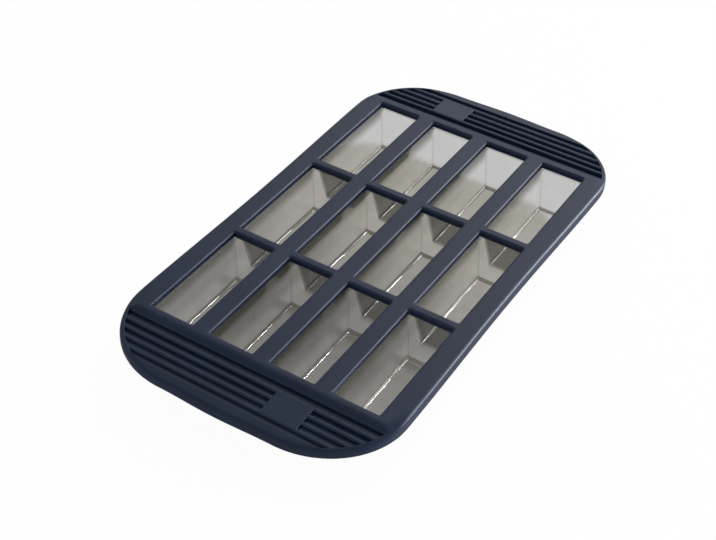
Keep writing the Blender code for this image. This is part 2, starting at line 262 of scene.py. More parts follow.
def smokeSilicone():
    material, tree = newMaterial("smokeClearSilicone")
    place = addNode(tree, "ShaderNodeTexCoord").outputs["Object"]
    cloud = addNode(tree, "ShaderNodeTexNoise", {"Vector": place},
                    {"Scale": 1 / (smoke["cloud"] * mm), "Detail": 3.0})
    grain = addNode(tree, "ShaderNodeTexNoise", {"Vector": place},
                    {"Scale": 1 / (smoke["grain"] * mm), "Detail": 2.0})
    colour = addRamp(tree, cloud.outputs["Fac"], [(0.3, linear(smoke["body"])), (0.7, linear(smoke["thin"]))])
    rough = addNode(tree, "ShaderNodeMapRange", {"Value": cloud.outputs["Fac"]},
                    {"To Min": smoke["roughness"][0], "To Max": smoke["roughness"][1]})
    clear = addNode(tree, "ShaderNodeMapRange", {"Value": cloud.outputs["Fac"]},
                    {"To Min": smoke["opacity"][0], "To Max": smoke["opacity"][1]})
    # 1 on the fillets round the floor, which face halfway between two axes and partly up, and 0 on walls and floor;
    # it carries the fillets' painted paler colour, extra opacity and lower roughness
    facing = addNode(tree, "ShaderNodeTexCoord").outputs["Normal"]
    facing = addNode(tree, "ShaderNodeVectorMath", {0: facing}, operation="ABSOLUTE")
    parts = addNode(tree, "ShaderNodeSeparateXYZ", {"Vector": facing.outputs[0]}).outputs
    widest = addNode(tree, "ShaderNodeMath", {0: parts["X"], 1: parts["Y"]}, operation="MAXIMUM")
    widest = addNode(tree, "ShaderNodeMath", {0: widest.outputs[0], 1: parts["Z"]}, operation="MAXIMUM")
    turned = addNode(tree, "ShaderNodeMapRange", {"Value": widest.outputs[0]},
                     {"From Min": smoke["turned"][0], "From Max": smoke["turned"][1]},
                     interpolation_type="SMOOTHSTEP")
    upward = addNode(tree, "ShaderNodeMapRange", {"Value": parts["Z"]},
                     {"From Min": smoke["upward"][0], "From Max": smoke["upward"][1]})
    edge = addNode(tree, "ShaderNodeMath", {0: turned.outputs["Result"], 1: upward.outputs["Result"]},
                   operation="MULTIPLY")
    rough = addNode(tree, "ShaderNodeMapRange", {"Value": edge.outputs[0], "To Min": rough.outputs["Result"]},
                    {"To Max": smoke["edgeRoughness"]})
    opacity = addNode(tree, "ShaderNodeMath", {0: edge.outputs[0], 2: clear.outputs["Result"]},
                      {1: smoke["edgeOpacity"]}, operation="MULTIPLY_ADD")
    # painted light: the fillets' colour is mixed towards a paler one, for the light they gather
    body = addNode(tree, "ShaderNodeMix", {"Factor": edge.outputs[0], "A": colour.outputs["Color"]},
                   data_type="RGBA")
    body.inputs["B"].default_value = linear(smoke["edge"])
    # painted shade: more opacity, and so more of the dark body colour, near the top of the long walls, where the
    # deck shades them from behind
    height = addNode(tree, "ShaderNodeSeparateXYZ", {"Vector": place}).outputs["Z"]
    nearTop = addNode(tree, "ShaderNodeMapRange", {"Value": height},
                      {"From Min": smoke["band"][0] * mm, "From Max": smoke["band"][1] * mm},
                      interpolation_type="SMOOTHSTEP")
    longWall = addNode(tree, "ShaderNodeMapRange", {"Value": parts["X"]},
                       {"From Min": smoke["longWall"][0], "From Max": smoke["longWall"][1]})
    shaded = addNode(tree, "ShaderNodeMath", {0: nearTop.outputs["Result"], 1: longWall.outputs["Result"]},
                     operation="MULTIPLY")
    opacity = addNode(tree, "ShaderNodeMath", {0: shaded.outputs[0], 2: opacity.outputs[0]},
                      {1: smoke["paintedShadeOpacity"]}, operation="MULTIPLY_ADD", use_clamp=True)
    bump = addNode(tree, "ShaderNodeBump", {"Height": grain.outputs["Fac"]},
                   {"Strength": smoke["bump"], "Distance": 0.04 * mm})
    shader = addNode(tree, "ShaderNodeBsdfPrincipled",
                     {"Base Color": body.outputs["Result"], "Roughness": rough.outputs["Result"],
                      "Alpha": opacity.outputs[0], "Normal": bump.outputs["Normal"]},
                     {"IOR": 1.41, "Specular IOR Level": 1.0})
    addNode(tree, "ShaderNodeOutputMaterial", {"Surface": shader.outputs["BSDF"]})
    return material


# Wire material: drawn spring steel, bright with fine lines along it from the die.

steel = {
    "pale": "#b9b8b5",
    "dark": "#8f8e8c",
    "lines": 0.3,  # mm; the die's lines are nearer 0.05, too fine to show
    "roughness": (0.22, 0.38),
}


def drawnSteel():
    material, tree = newMaterial("drawnSpringSteel")
    place = addNode(tree, "ShaderNodeTexCoord").outputs["Object"]
    lines = addNode(tree, "ShaderNodeTexNoise", {"Vector": place},
                    {"Scale": 1 / (steel["lines"] * mm), "Detail": 3.0})
    colour = addRamp(tree, lines.outputs["Fac"], [(0.3, linear(steel["dark"])), (0.7, linear(steel["pale"]))])
    rough = addNode(tree, "ShaderNodeMapRange", {"Value": lines.outputs["Fac"]},
                    {"To Min": steel["roughness"][0], "To Max": steel["roughness"][1]})
    shader = addNode(tree, "ShaderNodeBsdfPrincipled",
                     {"Base Color": colour.outputs["Color"], "Roughness": rough.outputs["Result"]},
                     {"Metallic": 1.0})
    addNode(tree, "ShaderNodeOutputMaterial", {"Surface": shader.outputs["BSDF"]})
    return material


# Deck

deck = {
    "height": 34.8,
    "edge": 1.6,  # rounding of the openings' top edges
    "seatWidth": 2.5,
    "seatZ": 30.7,
    "plateZ": 29.0,  # underside between the cups
    "bottomZ": 27.0,  # underside of the rim
    "recess": (83.0, 132.9),
    "recessCorner": 6.0,
    "halfWidth": 92.6,
    "halfLength": 172.8,
    "waist": 1.4,  # how far the sides are drawn in at their middle
    "bow": 1.1,  # how far the ends bow out
    "corner": (54.5, 50.5),
    "rimRadius": 3.0,
    "shoulderRadius": 2.6,
    "lipRadius": 4.0,
    "rimBand": 6.5,  # the rim's level reaches this far in
    "shoulderLength": 24.0,  # the rim starts to fall this far before the grip
    "shoulderTail": 6.0,  # and reaches the grip's slope this far into it
    "bottomEdge": 0.5,
    "rimLand": 0.05,  # flat kept between the rim's rounding and what lies inside it
}

grip = {
    "start": 136.6,
    "end": 164.9,
    "drop": 1.5,
    "lipDrop": 2.7,
    "shoulder": (5.7, 3.5),  # how far its curve runs along and down
    "shoulderFoot": 0.4,
    "floorDrop": 3.9,
    "wallInset": 2.95,
    "wallEdge": 0.25,
    "ribs": 4,
    "ribPitch": 5.95,
    "ribWidth": 2.8,
    "ribDrop": 0.2,
    "ribEdge": 0.9,
    "curvedInset": 3.4,  # from here outwards the grid's columns follow the outline
    "plate": (-45.6, -21.6),
    "plateDrop": 0.1,
    "plateEdge": (0.2, 0.15),  # its chamfer, across and down
    "plateWall": 0.03,  # half the thickness of its end walls
    "lipEdge": 0.5,
    "draft": 0.04,
}

extraColumns = 10  # columns between the cells and the rim, on each side


def wave(along, length, depth):
    # a dip of depth*(1 + cos(pi*along/length))/2, and its slope
    turn = np.pi * along / length
    return depth * (1 + np.cos(turn)) / 2, -depth * np.pi / length / 2 * np.sin(turn)


def quarterOutline(count=900):
    # plan points and outward unit normals from the side's middle, round the elliptic corner, to the end's middle
    across, along = deck["corner"]
    side, end = deck["halfLength"] - along, deck["halfWidth"] - across
    y, turn, x = np.linspace(0, side, count), np.linspace(0, np.pi / 2, count), np.linspace(end, 0, count)
    dip, sideSlope = wave(y, side, deck["waist"])
    bow, endSlope = wave(x, end, deck["bow"])
    points = [np.stack([deck["halfWidth"] - dip, y], 1),
              np.stack([end + across * np.cos(turn), side + along * np.sin(turn)], 1)[1:-1],
              np.stack([x, deck["halfLength"] + bow], 1)]
    normals = [np.stack([np.ones(count), sideSlope], 1),
               np.stack([np.cos(turn) / across, np.sin(turn) / along], 1)[1:-1],
               np.stack([-endSlope, np.ones(count)], 1)]
    normals = np.concatenate(normals)
    return np.concatenate(points), normals / np.linalg.norm(normals, axis=1, keepdims=True)


outlinePoints, outlineNormals = quarterOutline()


def halfWidthAt(y, inset):
    # half the plan's width at a distance y from the middle, for the outline moved inwards
    inner = outlinePoints - outlineNormals * inset
    return np.interp(np.abs(y), inner[:, 1], inner[:, 0])


def eased(value, start, end):
    # 0 up to start, 1 from end, and 3s^2 - 2s^3 between
    share = np.clip((value - start) / (end - start), 0, 1)
    return share**2 * (3 - 2 * share)


def gripLevel(y):
    # a straight slope from the foot of the shoulder to the end of the lip
    share = (np.abs(y) - grip["start"]) / (deck["halfLength"] - grip["start"])
    return deck["height"] - grip["drop"] - (grip["lipDrop"] - grip["drop"]) * share


def rimLevel(y):
    # the deck's height, eased down to the grip's slope over the shoulder
    down = eased(np.abs(y), grip["start"] - deck["shoulderLength"], grip["start"] + deck["shoulderTail"])
    return deck["height"] + (gripLevel(y) - deck["height"]) * down


def plateauLevel(y):
    # the same inside the rim, but level up to the shoulder's foot and eased down over one rib's pitch
    down = eased(np.abs(y), grip["start"], grip["start"] + grip["ribPitch"])
    return deck["height"] + (gripLevel(y) - deck["height"]) * down


def rimRadius(y):
    # the rim's rounding: tighter over the shoulder, larger round the lip
    shoulder = eased(np.abs(y), grip["start"] - deck["shoulderLength"], grip["start"])
    lip = eased(np.abs(y), grip["end"], deck["halfLength"])
    tighter = (deck["shoulderRadius"] - deck["rimRadius"]) * shoulder
    return deck["rimRadius"] + tighter + (deck["lipRadius"] - deck["shoulderRadius"]) * lip


def surfaceLevel(x, y):
    # height of the deck's top, from the rim's level near the outline to the plateau's level further in
    spots = np.stack([np.abs(x), np.abs(y)], axis=-1)
    coarse = outlinePoints[::4]
    inset = np.sqrt(((spots[..., None, :] - coarse) ** 2).sum(-1).min(-1))
    radius = rimRadius(y)
    share = np.clip((inset - radius) / (deck["rimBand"] - radius), 0, 1)
    return rimLevel(y) + (plateauLevel(y) - rimLevel(y)) * share


landInsets = rimRadius(outlinePoints[:, 1]) + deck["rimLand"]
landCurve = outlinePoints - outlineNormals * landInsets[:, None]  # where the rim's rounding meets the top


def recessPlan(points):
    # moves the outer border of the cells to the rounded rectangle of the recess under the deck:
    # scaled out to its sides, and in a corner square rings are turned into round ones
    border = np.array([opening["columns"], opening["rows"]]) * np.array(opening["pitch"]) / 2
    outer = (np.abs(points) > border - 1e-6).any(axis=-1)
    moved = points * np.array(deck["recess"]) / border
    past = np.abs(moved) - (np.array(deck["recess"]) - deck["recessCorner"])
    turned = past * (past.max(-1) / np.maximum(np.hypot(past[..., 0], past[..., 1]), 1e-9))[..., None]
    rounded = np.sign(moved) * (np.array(deck["recess"]) - deck["recessCorner"] + turned)
    inCorner = (past > 0).all(axis=-1)
    moved = np.where(inCorner[..., None], rounded, moved)
    return np.where(outer[..., None], moved, points)


def windowGrid(centre):
    # rings round one opening, from the web's middle over the rounded edge, down the wall,
    # out along the seat and back to the web's middle underneath; the second ring keeps the faces near square
    halfX, halfY = opening["half"]
    top, radius = deck["height"], opening["corner"]
    inward, drop = quarterRound(deck["edge"], 6)
    rim = ringPlan(halfX + deck["edge"], halfY + deck["edge"], radius + deck["edge"])
    rings = [(cellBorder, top), (cellBorder * 0.45 + rim * 0.55, top)]
    for grow, down in zip(inward[::-1], drop[::-1]):
        rings.append((ringPlan(halfX + grow, halfY + grow, radius + grow), top - down))
    rings += [(ringPlan(halfX, halfY, radius), z) for z in np.linspace(top - deck["edge"], deck["seatZ"], 4)[1:]]
    wide = ringPlan(halfX + deck["seatWidth"], halfY + deck["seatWidth"], radius + deck["seatWidth"])
    rings += [(wide, deck["seatZ"]), (wide, deck["plateZ"])]
    rings = [np.column_stack([plan, np.full(len(plan), z)]) + centre for plan, z in rings]
    under = recessPlan(cellBorder + centre[:2])
    rings.append(np.column_stack([under, np.full(len(under), deck["plateZ"])]))
    return np.stack(rings)


def bandColumns(y):
    # columns from the cells' border to the rim, evenly spaced, for rows at y
    border = opening["columns"] * opening["pitch"][0] / 2
    edge = np.interp(np.abs(y), landCurve[:, 1], landCurve[:, 0])
    share = np.linspace(0, 1, extraColumns + 1)
    return border + (edge[:, None] - border) * share


def allLines(axis):
    # every cell line along one axis, over the whole grid of cells
    count = opening["columns"] if axis == 0 else opening["rows"]
    pitch = opening["pitch"][axis]
    lines = [cellLines(axis) + (index - (count - 1) / 2) * pitch for index in range(count)]
    return np.concatenate([lines[0]] + [more[1:] for more in lines[1:]])


def bandGrid(y):
    # the flat border at the right of the cells, up to the rim's rounding
    x = bandColumns(y)
    rows = np.broadcast_to(y[:, None], x.shape)
    return np.stack([x, rows, surfaceLevel(x, rows)], axis=-1)


def gripRows():
    # rows across the +Y grip: place, ground height, and how far ribs, plate and lip drop below their own tops;
    # the ground is the deck, then a quarter ellipse down the shoulder, then the pocket's floor
    top, floor = deck["height"], deck["height"] - grip["floorDrop"]
    start, end = grip["start"], grip["end"]
    border = opening["rows"] * opening["pitch"][1] / 2
    along, down = grip["shoulder"]
    foot = start + grip["shoulderFoot"]
    rows = [(y, beyond, beyond, beyond, beyond) for y in (border, foot - along)]
    for turn in np.linspace(0, np.pi / 2, 13)[1:]:
        rows.append((foot - along * (1 - np.sin(turn)), top - down * (1 - np.cos(turn)), beyond, beyond, beyond))
    rows.append((foot + grip["draft"], floor, beyond, beyond, beyond))
    inward, drop = quarterRound(grip["ribEdge"], 4)
    middles = start + grip["ribPitch"] * np.arange(1, grip["ribs"] + 1)
    previous = start
    for number, middle in enumerate(middles):
        low, high = middle - grip["ribWidth"] / 2, middle + grip["ribWidth"] / 2
        plateBefore = beyond if number == 0 else 0.0  # the plate runs from the first rib's middle to the last one's
        plateAfter = beyond if number == len(middles) - 1 else 0.0
        rows.append(((previous + low) / 2, floor, beyond, plateBefore, beyond))
        rows.append((low - grip["draft"], floor, beyond, plateBefore, beyond))
        rows += [(low + step, floor, down, plateBefore, beyond) for step, down in zip(inward, drop)]
        rows.append((middle - grip["plateWall"], floor, 0.0, plateBefore, beyond))
        rows.append((middle + grip["plateWall"], floor, 0.0, plateAfter, beyond))
        rows += [(high - step, floor, down, plateAfter, beyond) for step, down in zip(inward[::-1], drop[::-1])]
        rows.append((high + grip["draft"], floor, beyond, plateAfter, beyond))
        previous = high
    rows.append(((previous + end) / 2, floor, beyond, beyond, beyond))
    rows.append((end - grip["draft"], floor, beyond, beyond, beyond))
    inward, drop = quarterRound(grip["lipEdge"], 4)
    rows += [(end + step, floor, beyond, beyond, down) for step, down in zip(inward, drop)]
    return np.array(rows)


def gripColumns(y):
    # columns across the +Y grip, and how far pocket wall, ribs and plate drop there:
    # the plate's edges stay put, the pocket's wall follows the outline, and the columns between are spread evenly
    cells = allLines(0)
    last = len(cells) - 1 + 2 * extraColumns
    wallIn, wallDrop = quarterRound(grip["wallEdge"], 3)
    further, _ = quarterRound(grip["ribEdge"], 3)
    foot, curved, draft = grip["wallInset"], grip["curvedInset"], grip["draft"]
    insets = np.concatenate([foot - wallIn[::-1], [foot + draft, curved], curved + draft + further])
    count = len(insets)
    edge = np.stack([halfWidthAt(y, inset) for inset in insets], axis=1)
    low, high = grip["plate"]
    nearLow = extraColumns + int(np.searchsorted(cells, low)) - 1
    nearHigh = extraColumns + int(np.searchsorted(cells, high)) + 1
    chamfer, chamferDrop = grip["plateEdge"]
    plateX = [low, low + draft, low + chamfer, high - chamfer, high - draft, high]
    plateIndex = [nearLow, nearLow + 1, nearLow + 2, nearHigh - 2, nearHigh - 1, nearHigh]
    anchors = np.concatenate([np.arange(count), plateIndex, last - np.arange(count)[::-1]])
    places = np.concatenate([-edge, np.tile(plateX, (len(y), 1)), edge[:, ::-1]], axis=1)
    index = np.arange(last + 1)
    columns = np.stack([np.interp(index, anchors, row) for row in places])
    columns[:, -1] = np.interp(y, landCurve[:, 1], landCurve[:, 0])
    columns[:, 0] = -columns[:, -1]
    wall, rib, plate = (np.full(last + 1, beyond) for _ in range(3))
    wall[:4] = wallDrop[::-1]
    wall[-4:] = wallDrop
    rib[1:-1] = 0.0  # the ribs run into the pocket's wall
    plate[nearLow + 1:nearHigh] = 0.0
    plate[[nearLow + 1, nearHigh - 1]] = chamferDrop
    return columns, wall, rib, plate


def gripGrid():
    # the +Y end of the deck's top, from the last row of cells to the lip: a height over rows and columns,
    # the highest of ground, ribs, plate, pocket wall and lip, and never above the deck's own level
    y, ground, ribAlong, plateAlong, lipAlong = gripRows().T
    columns, wall, ribAcross, plateAcross = gripColumns(y)
    bands = bandColumns(y)
    plain = np.concatenate([-bands[:, :0:-1], np.tile(allLines(0), (len(y), 1)), bands[:, 1:]], axis=1)
    share = eased(y, opening["rows"] * opening["pitch"][1] / 2, grip["start"])[:, None]
    x = plain + (columns - plain) * share
    rows = np.broadcast_to(y[:, None], x.shape)
    level = surfaceLevel(x, rows)
    slope = gripLevel(y)[:, None]
    ribs = slope - grip["ribDrop"] - np.maximum(ribAlong[:, None], ribAcross)
    plate = slope - grip["plateDrop"] - np.maximum(plateAlong[:, None], plateAcross)
    inside = np.maximum.reduce([np.broadcast_to(ground[:, None], x.shape), ribs, plate, level - lipAlong[:, None]])
    z = np.minimum(np.maximum(inside, level - wall), level)
    return np.stack([x, rows, z], axis=-1)


def rimStations(gripTop, sideY):
    # stations along the right side and the +Y lip: outline point, normal, inner point and recess point
    index = np.arange(len(outlinePoints))
    sideIndex = np.interp(np.abs(sideY), landCurve[:, 1], index)
    lipY = gripTop[-1, 0, 1]
    reach = np.where(landCurve[:, 1] >= lipY - 0.5)[0]
    depth = (outlinePoints[reach, 1] - lipY) / outlineNormals[reach, 1]
    hits = outlinePoints[reach, 0] - depth * outlineNormals[reach, 0]
    lipX = gripTop[-1, 1:-1, 0][::-1]
    lipIndex = np.interp(np.abs(lipX), hits[::-1], reach[::-1].astype(float))
    where = np.concatenate([sideIndex, lipIndex])
    sign = np.stack([np.concatenate([np.ones(len(sideY)), np.sign(lipX)]),
                     np.concatenate([np.sign(sideY), np.ones(len(lipX))])], axis=1)
    sign[sign == 0] = 1
    outer = np.stack([np.interp(where, index, outlinePoints[:, k]) for k in (0, 1)], axis=1) * sign
    normal = np.stack([np.interp(where, index, outlineNormals[:, k]) for k in (0, 1)], axis=1) * sign
    sideX = np.interp(np.abs(sideY), landCurve[:, 1], landCurve[:, 0])
    inner = np.concatenate([np.stack([sideX, sideY], 1), np.stack([lipX, np.full(len(lipX), lipY)], 1)])
    cells = allLines(0)
    border = np.array([cells[-1], opening["rows"] * opening["pitch"][1] / 2])
    under = np.concatenate([
        np.stack([np.full(len(sideY), border[0]), np.clip(sideY, -border[1], border[1])], 1),
        np.stack([np.pad(cells, extraColumns, mode="edge")[1:-1][::-1], np.full(len(lipX), border[1])], 1)])
    return outer, normal, inner, recessPlan(under)


def rimGrid(gripTop, sideY):
    # the rim's profile carried round the whole outline: land, rounding, skirt, bottom edge and underside
    outer, normal, inner, under = (np.concatenate([part, -part]) for part in rimStations(gripTop, sideY))
    radius, level = rimRadius(outer[:, 1]), rimLevel(outer[:, 1])
    innerLevel = surfaceLevel(inner[:, 0], inner[:, 1])
    crest = outer - normal * radius[:, None]
    rings = []
    for share in np.linspace(0, 1, 6)[:-1]:
        plan = inner + (crest - inner) * share
        rings.append(np.column_stack([plan, innerLevel + (level - innerLevel) * share]))
    for turn in np.linspace(np.pi / 2, 0, 11):
        plan = outer - normal * (radius * (1 - np.cos(turn)))[:, None]
        rings.append(np.column_stack([plan, level - radius * (1 - np.sin(turn))]))
    edge, bottom = deck["bottomEdge"], deck["bottomZ"]
    for share in (0.5, 1.0):
        z = (level - radius) + (bottom + edge - level + radius) * share
        rings.append(np.column_stack([outer, z]))
    for turn in np.linspace(0, np.pi / 2, 5)[1:]:
        plan = outer - normal * edge * (1 - np.cos(turn))
        rings.append(np.column_stack([plan, np.full(len(plan), bottom + edge * (1 - np.sin(turn)))]))
    flat = rings[-1][:, :2]
    for share in (0.33, 0.66, 1.0):
        plan = flat + (under - flat) * share
        rings.append(np.column_stack([plan, np.full(len(plan), bottom)]))
    rings.append(np.column_stack([under, np.full(len(under), deck["plateZ"])]))
    return np.stack(rings)


pins = {
    "radius": 0.9,
    "inset": 4.5,
    "top": 28.95,  # the wire's middle
    "perSide": 3,
    "segments": 24,
}


def cutPins(mesh):
    # the holes that the tool's pins leave, from the rim's underside up to the wire: one in each end, the rest in
    # the sides, all at the same distance from the outline
    along = (np.arange(pins["perSide"]) - (pins["perSide"] - 1) / 2) * opening["pitch"][1]
    endY = deck["halfLength"] + deck["bow"] - pins["inset"]
    spots = [(0.0, endY), (0.0, -endY)]
    spots += [(side * halfWidthAt(y, pins["inset"]), y) for y in along for side in (-1, 1)]
    low, high = (deck["bottomZ"] - 1.0) * mm, pins["top"] * mm
    work = bmesh.new()
    for x, y in spots:
        bmesh.ops.create_cone(work, cap_ends=True, segments=pins["segments"], radius1=pins["radius"] * mm,
                              radius2=pins["radius"] * mm, depth=high - low,
                              matrix=Matrix.Translation((x * mm, y * mm, (low + high) / 2)))
    cutterMesh = bpy.data.meshes.new("pins")
    work.to_mesh(cutterMesh)
    work.free()
    body, cutter = bpy.data.objects.new("body", mesh), bpy.data.objects.new("pins", cutterMesh)
    for thing in (body, cutter):
        bpy.context.scene.collection.objects.link(thing)
    cut = body.modifiers.new("pins", "BOOLEAN")
    cut.object, cut.operation, cut.solver = cutter, "DIFFERENCE", "EXACT"
    evaluated = body.evaluated_get(bpy.context.evaluated_depsgraph_get())
    result = bpy.data.meshes.new_from_object(evaluated)
    for used in (mesh, cutterMesh):
        bpy.data.meshes.remove(used)  # and its object with it
    result.name = "deckBody"
    print(f"{len(spots)} pin holes, {len(result.polygons)} faces")
    return result


def makeDeck(material):
    gripTop = gripGrid()
    cellY, endY = allLines(1), gripTop[:, 0, 1]
    sideY = np.concatenate([-endY[:0:-1], cellY, endY[1:]])
    band = bandGrid(cellY)
    grids = [(windowGrid(centre), True) for _, centre in cellCentres()]
    grids += [(band, False), (halfTurn(band), False), (gripTop, False), (halfTurn(gripTop), False)]
    grids.append((rimGrid(gripTop, sideY), True))
    piece = addPiece("deck_body", cutPins(meshFromGrids("deckBody", grids)), material, 40)
    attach(piece, "root")
    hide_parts("deck")
    return piece


# Cups

cup = {
    "topZ": 30.65,
    "flange": 2.2,
    "wall": 1.3,
    "floorZ": 1.3,
    "fillet": 1.6,
    "draft": (4.5, 5.0),  # how far the walls come in from top to floor
    "filletCorner": 0.6,
    "flangeEdge": (0.3, 0.09),  # its rounding, and how far that cuts back at its middle
    "wallSteps": 12,
    "filletSteps": 8,
}


def cupGrid():
    # one closed surface: floor middle, fillet, inner wall, flange, outer wall, fillet, and floor middle again;
    # the wall is straight, the fillet is a parabola tangent to wall and floor, and the outside is the inside moved
    # out along its normal by the wall's thickness
    top, floor, fillet, wall = cup["topZ"], cup["floorZ"], cup["fillet"], cup["wall"]
    wallEnd = (top - floor - fillet) / (top - floor)
    share = np.linspace(0, 1, cup["filletSteps"] + 1)[1:]
    down = np.linspace(0, wallEnd, cup["wallSteps"] + 1)
    drafts = np.concatenate([down, (1 - share) ** 2 * wallEnd + 1 - (1 - share) ** 2])
    insets = np.concatenate([np.zeros(len(down)), share**2 * fillet])
    heights = np.concatenate([top - down * (top - floor), floor + (1 - share) ** 2 * fillet])
    run = np.gradient(drafts * np.mean(cup["draft"]) + insets)
    fall = -np.gradient(heights)
    length = np.hypot(run, fall)
    outX, outZ = fall / length, run / length  # outward normal of the wall, as parts across and down
    outX[0], outZ[0] = outX[1], outZ[1]
    halfX, halfY = opening["half"]

    def ring(draft, inset, z, grow, drop):
        radius = opening["corner"] - min(inset, cup["filletCorner"]) + grow
        plan = ringPlan(halfX - draft * cup["draft"][0] - inset + grow,
                        halfY - draft * cup["draft"][1] - inset + grow, radius)
        return np.column_stack([plan, np.full(len(plan), z - drop)])

    path = list(zip(drafts, insets, heights))
    inner = [ring(*spot, 0.0, 0.0) for spot in path]
    outer = [ring(*spot, wall * across, wall * below) for spot, across, below in zip(path, outX, outZ)]
    flange = cup["flange"]
    size, cut = cup["flangeEdge"]
    edge = [(flange - size, 0.0), (flange - cut, cut), (flange, size),
            (flange, wall - size), (flange - cut, wall - cut), (flange - size, wall)]
    edge = [ring(0.0, 0.0, top, grow, drop) for grow, drop in edge]
    under = ring(0.0, 0.0, top, wall * outX[0] + 0.1, wall)

    def floorRings(last):
        # shrinks the last ring to a line along the trough's middle
        halfLine = np.abs(last[:, 1]).max() - np.abs(last[:, 0]).max()
        line = last.copy()
        line[:, 0] = 0.0
        line[:, 1] = np.clip(last[:, 1] * halfLine / np.abs(last[:, 1]).max(), -halfLine, halfLine)
        return [last + (line - last) * part for part in (0.12, 0.4, 0.7, 1.0)]

    rings = floorRings(inner[-1])[::-1] + inner[::-1] + edge + [under] + outer[1:] + floorRings(outer[-1])
    return np.stack(rings)


def makeCups(material):
    grid = cupGrid()
    pieces = []
    for name, centre in cellCentres():
        mesh = meshFromGrids(f"cup_{name}", [(grid + centre, True)])
        piece = addPiece(f"silicone_cup_{name}", mesh, material, 50)
        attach(piece, "root")
        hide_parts(f"cup_{name}")
        pieces.append(piece)
    return pieces


# Camera: the photograph's own place, direction and angle of view

view = {
    "place": (0.32170, -0.56439, 0.56643),  # metres
    "look": (-0.3888953, 0.65048391, -0.65240411),
    "roll": 2.338,  # degrees
    "lens": 68.04,
    "sensor": 36.0,
}


def makeCamera():
    data = bpy.data.cameras.new("photoCamera")
    data.lens, data.sensor_width = view["lens"], view["sensor"]
    data.clip_start, data.clip_end = 0.01, 20
    camera = bpy.data.objects.new("photoCamera", data)
    bpy.context.scene.collection.objects.link(camera)
    camera.location = view["place"]
    camera.rotation_mode = "QUATERNION"
    aim = Vector(view["look"]).to_track_quat("-Z", "Y")
    camera.rotation_quaternion = aim @ Euler((0, 0, math.radians(view["roll"]))).to_quaternion()
    bpy.context.scene.camera = camera


# Floor material: plain matt paper. The camera sees it near white, but under the mould a painted glow stands in for
# the light that has come through the
# silicone: darker and warmer there, and weaker at the near end than at the far end. Lengths are metres, and the
# other numbers are shares of plain white.

paper = {
    "colour": "#f2f2f2",
    "reach": 6.0,
    "below": 0.0002,  # under the plane that the cups stand on
    "plain": 0.965,
    "mirrored": 0.35,  # what reflections see of it
    "under": (0.15, 0.52),  # painted light under the mould, as a share of white: at the near end and at the far end
    "rise": (-0.05, 0.07),  # where along the mould it goes from one to the other
    # colour of the painted light under the mould
    "paintedLightTint": "#fff9ec",
    "middle": (-0.015, -0.008),
    "half": (0.083, 0.130),
    "corner": 0.030,
    "fade": 0.010,
}


def palePaper():
    material, tree = newMaterial("palePaper")
    place = addNode(tree, "ShaderNodeTexCoord").outputs["Object"]
    path = addNode(tree, "ShaderNodeLightPath").outputs
    # distance to a rounded rectangle: the length of what |place - middle| has beyond the corners' centres
    inner = (paper["half"][0] - paper["corner"], paper["half"][1] - paper["corner"], 1.0)
    shifted = addNode(tree, "ShaderNodeVectorMath", {0: place}, {1: (*paper["middle"], 0.0)}, operation="SUBTRACT")
    folded = addNode(tree, "ShaderNodeVectorMath", {0: shifted.outputs[0]}, operation="ABSOLUTE")
    past = addNode(tree, "ShaderNodeVectorMath", {0: folded.outputs[0]}, {1: inner}, operation="SUBTRACT")
    past = addNode(tree, "ShaderNodeVectorMath", {0: past.outputs[0]}, {1: (0.0, 0.0, 0.0)}, operation="MAXIMUM")
    away = addNode(tree, "ShaderNodeVectorMath", {0: past.outputs[0]}, operation="LENGTH").outputs["Value"]
    fade = {"From Min": paper["corner"], "From Max": paper["corner"] + paper["fade"]}
    along = addNode(tree, "ShaderNodeSeparateXYZ", {"Vector": shifted.outputs[0]}).outputs["Y"]
    # painted light under the mould: the camera's share of glow there grows from the near end to the far end, and
    # rises to the plain share outside
    under = addNode(tree, "ShaderNodeMapRange", {"Value": along},
                    {"From Min": paper["rise"][0], "From Max": paper["rise"][1],
                     "To Min": paper["under"][0], "To Max": paper["under"][1]}, interpolation_type="SMOOTHSTEP")
    white = addNode(tree, "ShaderNodeMapRange", {"Value": away, "To Min": under.outputs["Result"]},
                    {**fade, "To Max": paper["plain"]}, interpolation_type="SMOOTHSTEP")
    seen = addNode(tree, "ShaderNodeMath", {0: path["Is Camera Ray"], 1: path["Is Glossy Ray"]}, operation="MAXIMUM")
    share = addNode(tree, "ShaderNodeMath", {0: seen.outputs[0], 1: white.outputs["Result"]}, operation="MULTIPLY")
    strength = addNode(tree, "ShaderNodeMath", {0: path["Is Glossy Ray"]},
                       {1: paper["mirrored"] - 1.0, 2: 1.0}, operation="MULTIPLY_ADD")
    # the painted light under the mould is warm, and plain white outside it
    outside = addNode(tree, "ShaderNodeMapRange", {"Value": away}, fade)
    paintedLightTint = addNode(tree, "ShaderNodeMix", {"Factor": outside.outputs["Result"]}, data_type="RGBA")
    paintedLightTint.inputs["A"].default_value = linear(paper["paintedLightTint"])
    paintedLightTint.inputs["B"].default_value = (1, 1, 1, 1)
    diffuse = addNode(tree, "ShaderNodeBsdfDiffuse", {}, {"Color": linear(paper["colour"])})
    glow = addNode(tree, "ShaderNodeEmission", {"Color": paintedLightTint.outputs["Result"], "Strength": strength.outputs[0]})
    top = addNode(tree, "ShaderNodeMixShader", {0: share.outputs[0], 1: diffuse.outputs[0], 2: glow.outputs[0]})
    clear = addNode(tree, "ShaderNodeBsdfTransparent")  # from below, the mould shows through
    fromBelow = addNode(tree, "ShaderNodeNewGeometry").outputs["Backfacing"]
    surface = addNode(tree, "ShaderNodeMixShader", {0: fromBelow, 1: top.outputs[0], 2: clear.outputs[0]})
    addNode(tree, "ShaderNodeOutputMaterial", {"Surface": surface.outputs[0]})
    return material


